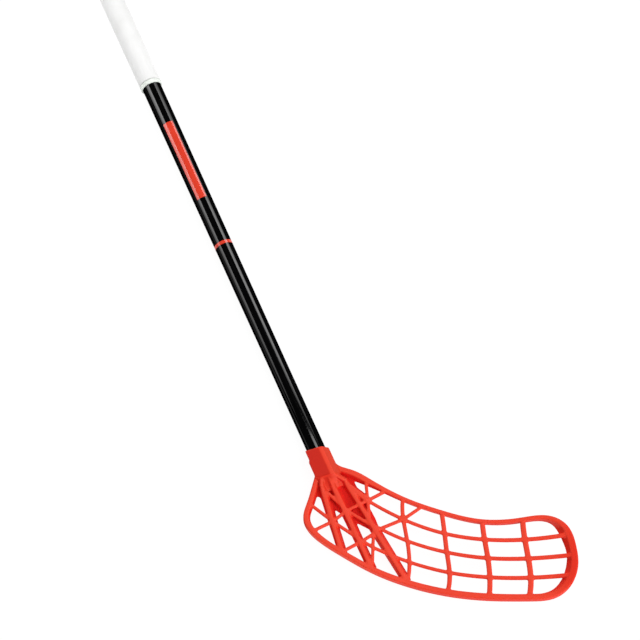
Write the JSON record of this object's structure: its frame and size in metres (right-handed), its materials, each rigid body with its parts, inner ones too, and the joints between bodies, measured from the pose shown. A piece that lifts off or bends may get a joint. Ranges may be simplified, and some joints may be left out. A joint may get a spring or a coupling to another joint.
{
  "type": "floorball stick",
  "caption": "Floorball stick with a tapered tube shaft, soft grip and a hooked lattice blade that is glued and screwed to the shaft's foot.",
  "frame": {"origin": "middle of the butt cap's end face, on the shaft axis", "axes": "+Y along the shaft and out of the butt, +Z out of the blade's forehand face with the stick lying on its back, +X to the side that the blade points to"},
  "size_m": [0.244, 0.9648, 0.0398],
  "materials": {
    "shaft": "black clear-coated composite",
    "blade": "satin orange-red moulded plastic",
    "screw": "zinc-plated steel",
    "glue": "hot-melt adhesive",
    "adhesive": "double-sided film",
    "grip": "soft white polyurethane",
    "collar": "pale satin ring",
    "cap": "white moulded plastic",
    "film": "red printed film under lacquer"
  },
  "bodies": {
    "root": {"shaft_tube": "shaft", "blade": "blade", "blade_screw": "screw", "hosel_glue": "glue", "grip_adhesive": "adhesive", "grip_wrap": "grip", "grip_collar": "collar", "butt_cap": "cap", "label_film": "film", "ring_film": "film"}
  },
  "joints": []
}
